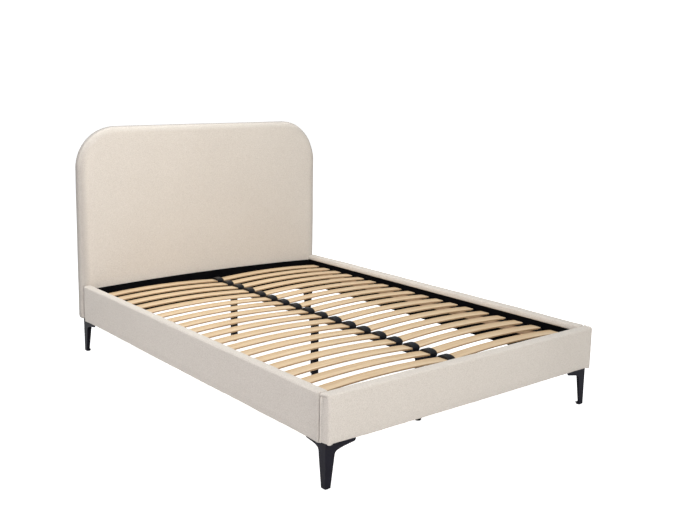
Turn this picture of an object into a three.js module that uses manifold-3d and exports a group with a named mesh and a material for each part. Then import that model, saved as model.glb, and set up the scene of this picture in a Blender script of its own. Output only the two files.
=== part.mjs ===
// A double bed with an upholstered frame, a round-cornered headboard, sprung slats and metal legs.
// Millimetres. +Z is up, +Y points from the foot of the bed to its head, and -X is the left side
// as seen from the foot. The origin is on the floor, under the middle of the bed.
import * as THREE from 'three';
import { mergeVertices } from 'three/addons/utils/BufferGeometryUtils.js';
import Module from 'manifold-3d';

const wasm = await Module();
wasm.setup();

// ---- driving dimensions ----

const bed = { width: 1500, length: 2126, height: 1184 };
const frameBottom = 177; // underside of the upholstered frame
const railTop = 362;
const gap = 0.3; // left between pieces that touch

const headboard = { thickness: 50, cornerRadius: 225, footRadius: 14, edgeRadius: 11, frontFoam: 24 };
const headboardBack = { wall: 4, windowInset: 45 };
const rail = { thickness: 40, outerRadius: 14, innerRadius: 8 };
const footPanel = { thickness: 42, cornerRadius: 14 };
const cover = { foam: 12, topFoam: 10, innerWall: 3, innerDepth: 27, hem: 2, hemWidth: 20, hemRadius: 5 };
const crossBoard = { thickness: 18, endHeight: 337, middleHeight: 351 };

const slat = { width: 60, thickness: 7, endTop: 316, rise: 14.6, innerEnd: 2.5, outerEnd: 700, facets: 7 };
const rows = { count: 18, pitch: 106.3, middle: 6.5 };
const beam = { width: 30, top: 305, bottom: 285, clearance: 6 };
const doubleHolder = {
  length: 38, width: 70, crown: 330, edgeTop: 321, web: 4, floor: 3.6, roof: 3, wall: 4.5,
};
const ledge = { width: 28, height: 36, top: 297 };
const singleHolder = { length: 22, lip: 2, height: 16, floor: 11.6 };
const bracket = { length: 42, wall: 3, flangeWidth: 70, flangeDrop: 35, sideHeight: 14 };

const cornerLeg = { insetX: 9, insetY: 17, plate: 4, soleWidth: 25, kneeWidth: 41, kneeHeight: 118 };
const wing = { length: 136, depth: 10, rootWidth: 56, rootHeight: 146, flangeWidth: 28, flange: 3 };
const wingBend = { x: 43, z: 138 }; // the curve from the knee to the wing bends round this point
const glide = { radius: 11, height: 6, skirt: 3, web: 4, inset: 13 };

const centreLeg = { size: 30, wall: 2, plug: 16, offset: 740 };
const legHead = { length: 60, height: 12 };
const levellingFoot = {
  radius: 15, topRadius: 12, rim: 6, height: 9, stud: 4, studLength: 52, clearance: 0.6,
};

const segments = { headboard: 6, edge: 3, arch: 8, bend: 5, round: 16, corner: 2 };
const overlap = 1; // how far cutters and joined pieces run past each other

// ---- places worked out from the dimensions ----

const halfWidth = bed.width / 2;
const innerX = halfWidth - rail.thickness;
const footY = -bed.length / 2;
const backY = bed.length / 2;
const headFrontY = backY - headboard.thickness;
const footInnerY = footY + footPanel.thickness;
const crossBoardFrontY = headFrontY - gap - crossBoard.thickness;
const boardInset = cover.innerWall + gap; // from a rail's inner face to its board
const lengthwise = [footInnerY + gap, headFrontY - gap]; // where a side rail starts and ends
const headRowY = rows.middle + rows.pitch * (rows.count - 1) / 2;
const rowY = Array.from({ length: rows.count }, (_, i) => headRowY - rows.pitch * i);

// ---- materials ----

const looks = {
  fabric: { color: '#d8cfc2', roughness: 0.95, metalness: 0 },
  board: { color: '#1b1b1d', roughness: 0.9, metalness: 0 },
  wood: { color: '#dcbf98', roughness: 0.55, metalness: 0 },
  plastic: { color: '#1c1c1f', roughness: 0.45, metalness: 0 },
  steel: { color: '#1e1e20', roughness: 0.4, metalness: 0.3 },
};

const bedGroup = new THREE.Group();

function addPiece(name, geometry, look) {
  const piece = new THREE.Mesh(geometry, new THREE.MeshStandardMaterial(looks[look]));
  piece.name = name;
  bedGroup.add(piece);
  return piece;
}

// ---- shapes ----

// A closed outline through corners [x, y, radius]. Every rounded corner is a right angle.
function outline(corners) {
  const shape = new THREE.Shape();
  corners.forEach(([x, y, radius = 0], i) => {
    const before = corners.at(i - 1);
    const after = corners[(i + 1) % corners.length];
    if (radius > 0) {
      const back = new THREE.Vector2(before[0] - x, before[1] - y).setLength(radius);
      const on = new THREE.Vector2(after[0] - x, after[1] - y).setLength(radius);
      const start = on.clone().negate().angle();
      const end = back.clone().negate().angle();
      if (i === 0) shape.moveTo(x + back.x, y + back.y);
      shape.absarc(x + back.x + on.x, y + back.y + on.y, radius, start, end, back.cross(on) > 0);
    } else if (i === 0) {
      shape.moveTo(x, y);
    } else {
      shape.lineTo(x, y);
    }
  });
  return shape;
}

function extrude(shape, depth, curveSegments = segments.corner) {
  return new THREE.ExtrudeGeometry(shape, { depth, curveSegments, bevelEnabled: false });
}

// An outline drawn in X and Z, from y0 to y1.
function alongY(shape, y0, y1, curveSegments) {
  return extrude(shape, y1 - y0, curveSegments).rotateX(Math.PI / 2).translate(0, y1, 0);
}

// An outline drawn in Y and Z, from x0 to x1.
function alongX(shape, x0, x1, curveSegments) {
  const turn = new THREE.Matrix4().makeBasis(
    new THREE.Vector3(0, 1, 0),
    new THREE.Vector3(0, 0, 1),
    new THREE.Vector3(1, 0, 0),
  );
  return extrude(shape, x1 - x0, curveSegments).applyMatrix4(turn).translate(x0, 0, 0);
}

// An outline drawn in X and Y, from z0 to z1.
function alongZ(shape, z0, z1, curveSegments) {
  return extrude(shape, z1 - z0, curveSegments).translate(0, 0, z0);
}

function block(x0, x1, y0, y1, z0, z1) {
  const size = new THREE.BoxGeometry(x1 - x0, y1 - y0, z1 - z0);
  return size.translate((x0 + x1) / 2, (y0 + y1) / 2, (z0 + z1) / 2);
}

function solid(geometry) {
  const bare = geometry.clone();
  bare.deleteAttribute('normal');
  bare.deleteAttribute('uv');
  const merged = mergeVertices(bare, 1e-4);
  const vertProperties = Float32Array.from(merged.attributes.position.array);
  const triVerts = Uint32Array.from(merged.index.array);
  return new wasm.Manifold(new wasm.Mesh({ numProp: 3, vertProperties, triVerts }));
}

function toGeometry(body) {
  const mesh = body.getMesh();
  const geometry = new THREE.BufferGeometry();
  geometry.setAttribute('position', new THREE.BufferAttribute(mesh.vertProperties, 3));
  geometry.setIndex(new THREE.BufferAttribute(mesh.triVerts, 1));
  return geometry;
}

// The first geometry joined with the others.
function join(first, ...others) {
  return others.reduce((body, part) => body.add(solid(part)), solid(first));
}

// ---- headboard ----

function headboardShape(inset) {
  const top = headboard.cornerRadius - inset;
  const foot = headboard.footRadius;
  return outline([
    [-halfWidth + inset, frameBottom + inset, foot],
    [halfWidth - inset, frameBottom + inset, foot],
    [halfWidth - inset, bed.height - inset, top],
    [-halfWidth + inset, bed.height - inset, top],
  ]);
}

const coreFrontY = headFrontY + headboard.frontFoam;
const coreBackY = backY - headboardBack.wall;

function headboardCover() {
  const edge = headboard.edgeRadius;
  const shell = new THREE.ExtrudeGeometry(headboardShape(0), {
    depth: headboard.thickness - 2 * edge,
    curveSegments: segments.headboard,
    bevelThickness: edge,
    bevelSize: edge,
    bevelOffset: -edge,
    bevelSegments: segments.edge,
  });
  shell.rotateX(Math.PI / 2).translate(0, backY - edge, 0);
  const pocket = alongY(headboardShape(cover.foam), coreFrontY, coreBackY, segments.headboard);
  const windowShape = headboardShape(headboardBack.windowInset);
  const window = alongY(windowShape, coreFrontY + overlap, backY + overlap, segments.headboard);
  return toGeometry(solid(shell).subtract(solid(pocket)).subtract(solid(window)));
}

function headboardBoard() {
  return alongY(headboardShape(cover.foam + gap), coreFrontY + gap, coreBackY - gap, segments.headboard);
}

function headCrossBoard() {
  const end = innerX - gap;
  const control = 2 * crossBoard.middleHeight - crossBoard.endHeight;
  const shape = new THREE.Shape();
  shape.moveTo(-end, frameBottom);
  shape.lineTo(end, frameBottom);
  shape.lineTo(end, crossBoard.endHeight);
  shape.quadraticCurveTo(0, control, -end, crossBoard.endHeight);
  return alongY(shape, crossBoardFrontY, headFrontY - gap, segments.arch);
}

// ---- side rails and foot panel ----

// The section of a rail's cover, as [distance in from the outer face, height, radius].
function coverSection(thickness) {
  const inner = thickness - cover.innerWall;
  return [
    [0, frameBottom, cover.hemRadius],
    [0, railTop, rail.outerRadius],
    [thickness, railTop, rail.innerRadius],
    [thickness, railTop - cover.innerDepth],
    [inner, railTop - cover.innerDepth],
    [inner, railTop - cover.topFoam],
    [cover.foam, railTop - cover.topFoam],
    [cover.foam, frameBottom + cover.hem],
    [cover.foam + cover.hemWidth, frameBottom + cover.hem],
    [cover.foam + cover.hemWidth, frameBottom],
  ];
}

function sideOutline(side, corners) {
  return outline(corners.map(([inward, z, radius]) => [side * (halfWidth - inward), z, radius]));
}

function railCover(side) {
  return alongY(sideOutline(side, coverSection(rail.thickness)), ...lengthwise);
}

// The board inside a cover, as a rectangle of distances in from the outer face and heights.
function boardSection(thickness) {
  const outer = cover.foam + gap;
  const inner = thickness - boardInset;
  const low = frameBottom + cover.hem + gap;
  const high = railTop - cover.topFoam - gap;
  return [[outer, low], [outer, high], [inner, high], [inner, low]];
}

function railBoard(side) {
  return alongY(sideOutline(side, boardSection(rail.thickness)), ...lengthwise);
}

function footOutline(corners) {
  return outline(corners.map(([inward, z, radius]) => [footY + inward, z, radius]));
}

function footCover() {
  const section = footOutline(coverSection(footPanel.thickness));
  const endSection = footOutline([
    [0, frameBottom, cover.hemRadius],
    [0, railTop, rail.outerRadius],
    [footPanel.thickness, railTop, rail.innerRadius],
    [footPanel.thickness, frameBottom],
  ]);
  const plan = outline([
    [-halfWidth, footY, footPanel.cornerRadius],
    [halfWidth, footY, footPanel.cornerRadius],
    [halfWidth, footInnerY],
    [-halfWidth, footInnerY],
  ]);
  const body = join(
    alongX(section, -halfWidth, halfWidth),
    alongX(endSection, -halfWidth, -halfWidth + cover.foam),
    alongX(endSection, halfWidth - cover.foam, halfWidth),
  );
  return toGeometry(body.intersect(solid(alongZ(plan, frameBottom - overlap, railTop + overlap))));
}

function footBoard() {
  const end = halfWidth - cover.foam - gap;
  return alongX(footOutline(boardSection(footPanel.thickness)), -end, end);
}

// ---- slats and what holds them ----

// A slat arches up between its ends. Its middle facet lies flat.
function slatGeometry(side, y) {
  const half = (slat.outerEnd - slat.innerEnd) / 2;
  const middle = side * (slat.innerEnd + half);
  const radius = (half ** 2 + slat.rise ** 2) / (2 * slat.rise);
  const sweep = Math.asin(half / radius);
  const top = [];
  for (let i = 0; i <= slat.facets; i++) {
    const angle = sweep * (2 * i / slat.facets - 1);
    const z = slat.endTop + slat.rise - radius * (1 - Math.cos(angle));
    top.push([middle + radius * Math.sin(angle), z]);
  }
  const bottom = top.map(([x, z]) => [x, z - slat.thickness]).reverse();
  return alongY(outline([...top, ...bottom]), y - slat.width / 2, y + slat.width / 2);
}

// A holder with an arched top. It takes a slat's end from each side, with a web between the two.
function doubleHolderSolid(y) {
  const half = doubleHolder.length / 2;
  const halfWide = doubleHolder.width / 2;
  const inside = halfWide - doubleHolder.wall;
  const bottom = beam.top - overlap;
  const arch = new THREE.Shape();
  arch.moveTo(y - halfWide, bottom);
  arch.lineTo(y + halfWide, bottom);
  arch.lineTo(y + halfWide, doubleHolder.edgeTop);
  arch.quadraticCurveTo(y, 2 * doubleHolder.crown - doubleHolder.edgeTop, y - halfWide, doubleHolder.edgeTop);
  const low = beam.top + doubleHolder.floor;
  const high = doubleHolder.edgeTop - doubleHolder.roof;
  const pocket = (x0, x1) => solid(block(x0, x1, y - inside, y + inside, low, high));
  const web = doubleHolder.web / 2;
  return solid(alongX(arch, -half, half, segments.arch))
    .subtract(pocket(web, half + overlap))
    .subtract(pocket(-half - overlap, -web));
}

function centreBeam() {
  const half = beam.width / 2;
  const y0 = footInnerY + beam.clearance;
  const y1 = crossBoardFrontY - beam.clearance;
  const bar = solid(block(-half, half, y0, y1, beam.bottom, beam.top));
  return toGeometry(rowY.reduce((body, y) => body.add(doubleHolderSolid(y)), bar));
}

// A timber batten along a side rail, with a small open cradle under the outer end of each slat.
function ledgeGeometry(side) {
  const wallX = side * (innerX + cover.innerWall);
  const batten = spanBlock(
    wallX,
    wallX - side * ledge.width,
    (footInnerY + crossBoardFrontY) / 2,
    (crossBoardFrontY - footInnerY) / 2 - gap,
    ledge.top - ledge.height,
    ledge.top,
  );
  const halfSlat = slat.width / 2 + gap;
  const outer = side * (slat.outerEnd + gap);
  const inner = side * (slat.outerEnd + gap - singleHolder.length);
  const wall = outer + side * singleHolder.lip;
  const low = ledge.top - overlap;
  const lipTop = ledge.top + singleHolder.height;
  const cradle = (y) => [
    spanBlock(inner, wall, y, halfSlat + singleHolder.lip, low, ledge.top + singleHolder.floor),
    spanBlock(outer, wall, y, halfSlat + singleHolder.lip, low, lipTop),
    ...[-1, 1].map((edge) => {
      const middle = y + edge * (halfSlat + singleHolder.lip / 2);
      return spanBlock(inner, wall, middle, singleHolder.lip / 2, low, lipTop);
    }),
  ];
  return toGeometry(join(batten, ...rowY.flatMap(cradle)));
}

// A block between two X values in either order, centred on y.
function spanBlock(xa, xb, y, halfY, z0, z1) {
  return block(Math.min(xa, xb), Math.max(xa, xb), y - halfY, y + halfY, z0, z1);
}

// A cradle for one end of the beam, with a flange against the board behind it.
// inward is +1 where the beam runs towards +Y from the flange.
function beamBracket(flangeY, inward) {
  const inner = beam.width / 2 + gap;
  const outer = inner + bracket.wall;
  const seat = beam.bottom - gap;
  const ys = [flangeY, flangeY + inward * bracket.length].sort((a, b) => a - b);
  const flangeYs = [flangeY, flangeY + inward * bracket.wall].sort((a, b) => a - b);
  const halfFlange = bracket.flangeWidth / 2;
  return toGeometry(join(
    block(-outer, outer, ...ys, seat - bracket.wall, seat),
    block(inner, outer, ...ys, seat - bracket.wall, seat + bracket.sideHeight),
    block(-outer, -inner, ...ys, seat - bracket.wall, seat + bracket.sideHeight),
    block(-halfFlange, halfFlange, ...flangeYs, seat - bracket.flangeDrop, seat),
  ));
}

// ---- legs ----

// One face of a corner leg: narrow at the sole, a little wider at the knee, then a long tapering wing.
function legFace() {
  const shape = new THREE.Shape();
  shape.moveTo(0, glide.skirt);
  shape.lineTo(cornerLeg.soleWidth, glide.skirt);
  shape.lineTo(cornerLeg.kneeWidth, cornerLeg.kneeHeight);
  shape.quadraticCurveTo(wingBend.x, wingBend.z, wing.rootWidth, wing.rootHeight);
  shape.lineTo(wing.length, frameBottom - gap - wing.depth);
  shape.lineTo(wing.length, frameBottom - gap);
  shape.lineTo(0, frameBottom - gap);
  return shape;
}

// A corner leg with its corner on the origin and its two faces along +X and +Y.
function cornerLegGeometry() {
  const top = frameBottom - gap;
  const flange = [
    [0, 0], [wing.length, 0], [wing.length, wing.flangeWidth],
    [wing.flangeWidth, wing.flangeWidth], [wing.flangeWidth, wing.length], [0, wing.length],
  ];
  const sole = cornerLeg.soleWidth;
  const soleShape = outline([[0, 0], [sole, 0], [sole, sole], [0, sole]]);
  const padHeight = glide.height + overlap;
  const pad = new THREE.CylinderGeometry(glide.radius, glide.radius, padHeight, segments.round);
  pad.rotateX(Math.PI / 2).translate(glide.inset, glide.inset, padHeight / 2);
  return toGeometry(join(
    alongY(legFace(), 0, cornerLeg.plate, segments.bend),
    alongX(legFace(), 0, cornerLeg.plate, segments.bend),
    alongZ(outline(flange), top - wing.flange, top),
    alongZ(soleShape, glide.height, glide.height + glide.web),
    pad,
  ));
}

// A square tube under the beam. Its plug has a hole for the stud of the levelling foot.
function centreLegGeometry() {
  const half = centreLeg.size / 2;
  const bore = half - centreLeg.wall;
  const low = levellingFoot.height + gap;
  const top = beam.bottom - gap;
  const headLow = top - legHead.height;
  const holeRadius = levellingFoot.stud + levellingFoot.clearance;
  const holeLength = 4 * centreLeg.plug; // half of it lies below the tube
  const hole = new THREE.CylinderGeometry(holeRadius, holeRadius, holeLength, segments.round);
  hole.rotateX(Math.PI / 2).translate(0, 0, low);
  const body = join(
    block(-half, half, -half, half, low, top),
    block(-half, half, -legHead.length / 2, legHead.length / 2, headLow, top),
  );
  const hollow = block(-bore, bore, -bore, bore, low + centreLeg.plug, headLow);
  return toGeometry(body.subtract(solid(hollow)).subtract(solid(hole)));
}

function levellingFootGeometry() {
  const { radius, topRadius, rim, height, stud, studLength } = levellingFoot;
  const profile = [
    [0, 0], [radius, 0], [radius, rim], [topRadius, height],
    [stud, height], [stud, studLength], [0, studLength],
  ];
  const points = profile.map(([r, z]) => new THREE.Vector2(r, z));
  const turned = new THREE.LatheGeometry(points, segments.round);
  return turned.rotateX(Math.PI / 2);
}

// ---- the bed ----

addPiece('headboard_cover', headboardCover(), 'fabric');
addPiece('headboard_board', headboardBoard(), 'board');
addPiece('head_cross_board', headCrossBoard(), 'board');

for (const [name, side] of [['left', -1], ['right', 1]]) {
  addPiece(`${name}_rail_cover`, railCover(side), 'fabric');
  addPiece(`${name}_rail_board`, railBoard(side), 'board');
  addPiece(`${name}_ledge`, ledgeGeometry(side), 'wood');
  rowY.forEach((y, i) => {
    addPiece(`${name}_slat_${String(i + 1).padStart(2, '0')}`, slatGeometry(side, y), 'wood');
  });
}

addPiece('foot_cover', footCover(), 'fabric');
addPiece('foot_board', footBoard(), 'board');

addPiece('centre_beam', centreBeam(), 'plastic');
addPiece('head_beam_bracket', beamBracket(crossBoardFrontY - gap, -1), 'steel');
addPiece('foot_beam_bracket', beamBracket(footInnerY - boardInset + gap, 1), 'steel');

const legX = halfWidth - cornerLeg.insetX;
const legY = bed.length / 2 - cornerLeg.insetY;
const corners = [
  ['foot_left', -legX, -legY],
  ['foot_right', legX, -legY],
  ['head_right', legX, legY],
  ['head_left', -legX, legY],
];
corners.forEach(([name, x, y], quarterTurns) => {
  const leg = addPiece(`corner_leg_${name}`, cornerLegGeometry(), 'steel');
  leg.position.set(x, y, 0);
  leg.rotation.z = quarterTurns * Math.PI / 2;
});

for (const [name, y] of [['head', centreLeg.offset], ['middle', 0], ['foot', -centreLeg.offset]]) {
  addPiece(`centre_leg_${name}`, centreLegGeometry(), 'steel').position.y = y;
  addPiece(`levelling_foot_${name}`, levellingFootGeometry(), 'plastic').position.y = y;
}

export default bedGroup;
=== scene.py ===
"""The looks of an upholstered double bed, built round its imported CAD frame.

Metres throughout. +Z is up, +Y runs from the foot of the bed to its head, and -X is the left
side as seen from the foot. Positions come from the CAD nodes; the sizes below are details that
the CAD model leaves out.
"""

import math

import bmesh
import bpy
import numpy as np
from mathutils import Matrix, Vector, noise


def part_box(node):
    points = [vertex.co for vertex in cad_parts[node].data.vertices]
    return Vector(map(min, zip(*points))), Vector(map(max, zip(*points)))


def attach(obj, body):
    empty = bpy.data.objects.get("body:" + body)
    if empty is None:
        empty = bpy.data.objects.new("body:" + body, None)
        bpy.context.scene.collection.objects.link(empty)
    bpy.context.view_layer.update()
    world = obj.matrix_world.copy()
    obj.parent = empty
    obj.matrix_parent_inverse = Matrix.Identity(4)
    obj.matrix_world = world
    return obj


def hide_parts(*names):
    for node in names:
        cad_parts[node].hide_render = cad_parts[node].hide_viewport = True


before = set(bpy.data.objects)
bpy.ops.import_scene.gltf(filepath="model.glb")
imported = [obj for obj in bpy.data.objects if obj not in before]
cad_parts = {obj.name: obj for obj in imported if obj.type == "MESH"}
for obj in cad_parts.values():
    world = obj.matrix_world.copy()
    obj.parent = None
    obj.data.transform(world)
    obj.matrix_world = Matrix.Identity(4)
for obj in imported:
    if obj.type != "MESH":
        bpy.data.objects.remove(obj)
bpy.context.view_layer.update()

ROOT = "bed_frame"  # the CAD body that everything but the levelling feet rides on
ROWS = 18
SIDES = {"left": -1, "right": 1}


# ---- node helpers ----


def add_node(tree, kind, values=(), **settings):
    """A shader node with its settings and its input values."""
    made = tree.nodes.new(kind)
    for key, value in settings.items():
        setattr(made, key, value)
    for socket, value in dict(values).items():
        made.inputs[socket].default_value = value
    return made


def principled(name, constants):
    """A material with its constants set on the shader's own sockets."""
    material = bpy.data.materials.new(name)
    material.use_nodes = True
    tree = material.node_tree
    shader = tree.nodes["Principled BSDF"]
    for socket, value in constants.items():
        shader.inputs[socket].default_value = value
    return material, tree, shader


def colour_ramp(tree, source, stops):
    """The source's value as a colour. Stops are (position, colour)."""
    ramp = add_node(tree, "ShaderNodeValToRGB")
    elements = ramp.color_ramp.elements
    while len(elements) < len(stops):
        elements.new(0.5)
    for element, (position, colour) in zip(elements, stops):
        element.position = position
        element.color = (*colour, 1)
    tree.links.new(source, ramp.inputs["Fac"])
    return ramp.outputs["Color"]


def mix_colour(tree, blend, factor, a, b):
    """Two colours mixed. factor is a number or a socket, and b a colour or a socket."""
    mixed = add_node(tree, "ShaderNodeMix", data_type="RGBA", blend_type=blend)
    for socket, value in ((mixed.inputs[0], factor), (mixed.inputs[6], a), (mixed.inputs[7], b)):
        if isinstance(value, bpy.types.NodeSocket):
            tree.links.new(value, socket)
        else:
            socket.default_value = value
    return mixed.outputs[2]


def bump_chain(tree, shader, layers):
    """Stacks bumps, each (height socket, strength, distance in metres), on the shader's normal."""
    normal = None
    for height, strength, distance in layers:
        bump = add_node(tree, "ShaderNodeBump", {"Strength": strength, "Distance": distance})
        tree.links.new(height, bump.inputs["Height"])
        if normal is not None:
            tree.links.new(normal, bump.inputs["Normal"])
        normal = bump.outputs["Normal"]
    tree.links.new(normal, shader.inputs["Normal"])


def noise_field(tree, vector, scale, detail=2.0, roughness=0.5):
    """Smooth noise. A higher scale makes it finer."""
    values = {"Scale": scale, "Detail": detail, "Roughness": roughness}
    field = add_node(tree, "ShaderNodeTexNoise", values)
    tree.links.new(vector, field.inputs["Vector"])
    return field.outputs["Fac"]


def object_coordinates(tree):
    return add_node(tree, "ShaderNodeTexCoord").outputs["Object"]


def scaled(tree, vector, factors):
    """The vector with each of its parts multiplied."""
    product = add_node(tree, "ShaderNodeVectorMath", {1: factors}, operation="MULTIPLY")
    tree.links.new(vector, product.inputs[0])
    return product.outputs["Vector"]


def worked_out(tree, operation, source, values=()):
    """A sum on one value. `values` holds the node's other inputs."""
    made = add_node(tree, "ShaderNodeMath", values, operation=operation)
    tree.links.new(source, made.inputs[0])
    return made.outputs[0]


def vary_colour(tree, shader, source, dark, light):
    """The shader's colour goes from dark to light with the source."""
    base = colour_ramp(tree, source, [(0.3, dark), (0.7, light)])
    tree.links.new(base, shader.inputs["Base Color"])


def vary_roughness(tree, shader, source, smoothest, roughest):
    """The shader's roughness goes from one value to the other with the source."""
    gloss = add_node(tree, "ShaderNodeMapRange", {"To Min": smoothest, "To Max": roughest})
    tree.links.new(source, gloss.inputs["Value"])
    tree.links.new(gloss.outputs["Result"], shader.inputs["Roughness"])


# ---- materials ----

WHITE = (1.0, 1.0, 1.0)
YARN = [(0.3, (0.682, 0.622, 0.553)), (0.5, (0.725, 0.664, 0.594)), (0.7, (0.757, 0.70, 0.632))]
PAINTED_SHADE_TINT = (0.60, 0.60, 0.615, 1)  # painted shade: what the yarn's colour is multiplied by where shade is painted in
WOOD = [(0.28, (0.625, 0.432, 0.248)), (0.5, (0.756, 0.567, 0.363)), (0.72, (0.826, 0.652, 0.444))]
# The slats' cut edges: partly the cut face's own darker tone, partly painted shade.
CUT_EDGE_AND_SHADE = (0.62, 0.55, 0.48)
SLAT_THICK = 0.007
PLY_THICK = 0.0016  # of one layer of a slat


def boucle_material():
    """Cream boucle: small loops of yarn in faint level ripples, with a sheen of loose fibre.

    A point attribute holds painted shade: where it is 1 the colour is darkened, as on faces that lie away
    from the light.
    """
    material, tree, shader = principled(
        "boucle",
        {"Roughness": 0.94, "Specular IOR Level": 0.2, "Sheen Weight": 0.1, "Sheen Roughness": 0.6},
    )
    place = object_coordinates(tree)
    loops = add_node(
        tree, "ShaderNodeTexVoronoi", {"Scale": 300.0, "Smoothness": 0.5}, feature="SMOOTH_F1"
    )
    tree.links.new(place, loops.inputs["Vector"])
    ripples = noise_field(tree, scaled(tree, place, (0.3, 0.3, 1.0)), 170.0, 2.5, 0.6)
    yarn = noise_field(tree, place, 640.0, 3.0, 0.6)
    clumps = noise_field(tree, place, 210.0, 2.0, 0.6)
    drift = noise_field(tree, place, 2.6, 2.0)
    base = colour_ramp(tree, clumps, YARN)
    shade = colour_ramp(tree, drift, [(0.3, (0.975, 0.972, 0.97)), (0.7, WHITE)])
    # Painted shade in the hollows between the loops: the colour darkens where the loops' bump sinks.
    painted_pit_shade = colour_ramp(tree, loops.outputs["Distance"], [(0.15, WHITE), (0.75, (0.87, 0.86, 0.85))])
    base = mix_colour(tree, "MULTIPLY", 1.0, base, shade)
    base = mix_colour(tree, "MULTIPLY", 1.0, base, painted_pit_shade)
    # Painted shade: the point attribute darkens the colour on edges and bands that lie away from the light.
    painted_shade = add_node(tree, "ShaderNodeAttribute", attribute_name="painted_shade").outputs["Fac"]
    base = mix_colour(tree, "MULTIPLY", painted_shade, base, PAINTED_SHADE_TINT)
    tree.links.new(base, shader.inputs["Base Color"])
    layers = [(ripples, 0.6, 0.003), (loops.outputs["Distance"], -0.5, 0.0018), (yarn, 0.35, 0.0008)]
    bump_chain(tree, shader, layers)
    return material


def lining_material():
    """Black non-woven cloth over the boards."""
    material, tree, shader = principled("black_lining", {"Roughness": 0.95, "Specular IOR Level": 0.03})
    place = object_coordinates(tree)
    fibres = noise_field(tree, place, 520.0, 4.0, 0.7)
    patches = noise_field(tree, place, 9.0)
    vary_colour(tree, shader, patches, (0.0022, 0.0022, 0.0028), (0.0042, 0.0042, 0.005))
    bump_chain(tree, shader, [(fibres, 0.3, 0.0006)])
    return material


def birch_material():
    """Pale laminated birch. The point attribute `grain` holds the way along, across and into a slat."""
    material, tree, shader = principled("birch", {"Specular IOR Level": 0.35})
    grain = add_node(tree, "ShaderNodeAttribute", attribute_name="grain").outputs["Vector"]
    streaks = noise_field(tree, scaled(tree, grain, (1.6, 46.0, 46.0)), 2.2, 4.0, 0.62)
    pores = noise_field(tree, scaled(tree, grain, (7.0, 330.0, 330.0)), 2.0)
    base = colour_ramp(tree, streaks, WOOD)
    fleck = colour_ramp(tree, pores, [(0.32, (0.86, 0.82, 0.77)), (0.5, WHITE)])
    base = mix_colour(tree, "MULTIPLY", 0.8, base, fleck)
    base = mix_colour(tree, "MULTIPLY", 1.0, base, ply_lines_and_edge_shade(tree, grain))
    tree.links.new(base, shader.inputs["Base Color"])
    vary_roughness(tree, shader, pores, 0.42, 0.58)
    bump_chain(tree, shader, [(streaks, 0.08, 0.001), (pores, 0.12, 0.0003)])
    return material


def ply_lines_and_edge_shade(tree, grain):
    """The layers of a slat, which show at its edges as bands on a darker cut face. That darkness is partly
    the cut face's own tone and partly painted shade.
    """
    parts = add_node(tree, "ShaderNodeSeparateXYZ")
    tree.links.new(grain, parts.inputs["Vector"])
    depth = parts.outputs["Z"]
    phase = worked_out(tree, "MULTIPLY", depth, {1: 2 * math.pi / PLY_THICK})
    bands = colour_ramp(tree, worked_out(tree, "SINE", phase), [(0.0, (0.80, 0.74, 0.66)), (0.6, WHITE)])
    share = worked_out(tree, "MULTIPLY", depth, {1: 1 / SLAT_THICK})
    # The cut edges darken between the top and the underside: partly own tone, partly painted shade.
    stops = [(0.03, WHITE), (0.12, CUT_EDGE_AND_SHADE), (0.88, CUT_EDGE_AND_SHADE), (0.97, WHITE)]
    return mix_colour(tree, "MULTIPLY", 1.0, bands, colour_ramp(tree, share, stops))


def plastic_material():
    """Black moulded plastic with a fine spark-eroded grain."""
    material, tree, shader = principled("holder_plastic", {"Specular IOR Level": 0.3})
    place = object_coordinates(tree)
    grain = noise_field(tree, place, 900.0)
    tone = noise_field(tree, place, 60.0)
    vary_colour(tree, shader, tone, (0.0045, 0.0045, 0.006), (0.0075, 0.0075, 0.0095))
    vary_roughness(tree, shader, tone, 0.36, 0.52)
    bump_chain(tree, shader, [(grain, 0.25, 0.0003)])
    return material


def steel_material():
    """Black powder coat: a satin skin with a slight orange peel."""
    material, tree, shader = principled("black_steel", {"Specular IOR Level": 0.17})
    place = object_coordinates(tree)
    peel = noise_field(tree, place, 420.0)
    wear = noise_field(tree, place, 28.0, 3.0)
    vary_colour(tree, shader, wear, (0.0066, 0.0058, 0.0112), (0.0098, 0.0088, 0.0165))
    vary_roughness(tree, shader, wear, 0.34, 0.48)
    bump_chain(tree, shader, [(peel, 0.18, 0.0004)])
    return material


def pine_material():
    """Planed pine with straight grain along Y."""
    material, tree, shader = principled("pine", {"Specular IOR Level": 0.25, "Roughness": 0.62})
    stretched = scaled(tree, object_coordinates(tree), (60.0, 2.2, 60.0))
    streaks = noise_field(tree, stretched, 2.4, 4.0, 0.6)
    vary_colour(tree, shader, streaks, (0.47, 0.285, 0.165), (0.66, 0.45, 0.29))
    bump_chain(tree, shader, [(streaks, 0.12, 0.0006)])
    return material


def floor_material(emission):
    """A white that also glows."""
    values = {"Base Color": (0.8, 0.8, 0.8, 1), "Roughness": 0.9}
    values |= {"Emission Color": (1, 1, 1, 1), "Emission Strength": emission}
    return principled("floor_white", values)[0]


boucle = boucle_material()
lining = lining_material()
birch = birch_material()
plastic = plastic_material()
steel = steel_material()
pine = pine_material()


# ---- mesh helpers ----

NEAR_AXIS = 1e-5  # the least radius of a ring, so that its points stay apart


def link_object(name, data):
    """A new object in the scene."""
    made = bpy.data.objects.new(name, data)
    bpy.context.scene.collection.objects.link(made)
    return made


def make_piece(name, points, faces, material, body=ROOT, smooth=True):
    """A new mesh object with outward normals, riding on a CAD body."""
    mesh = bpy.data.meshes.new(name)
    mesh.from_pydata([tuple(map(float, p)) for p in points], [], [tuple(map(int, f)) for f in faces])
    turn_normals_out(mesh)
    mesh.materials.append(material)
    if smooth:
        mesh.shade_smooth()
    piece = link_object(name, mesh)
    if body:
        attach(piece, body)
    return piece


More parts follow.
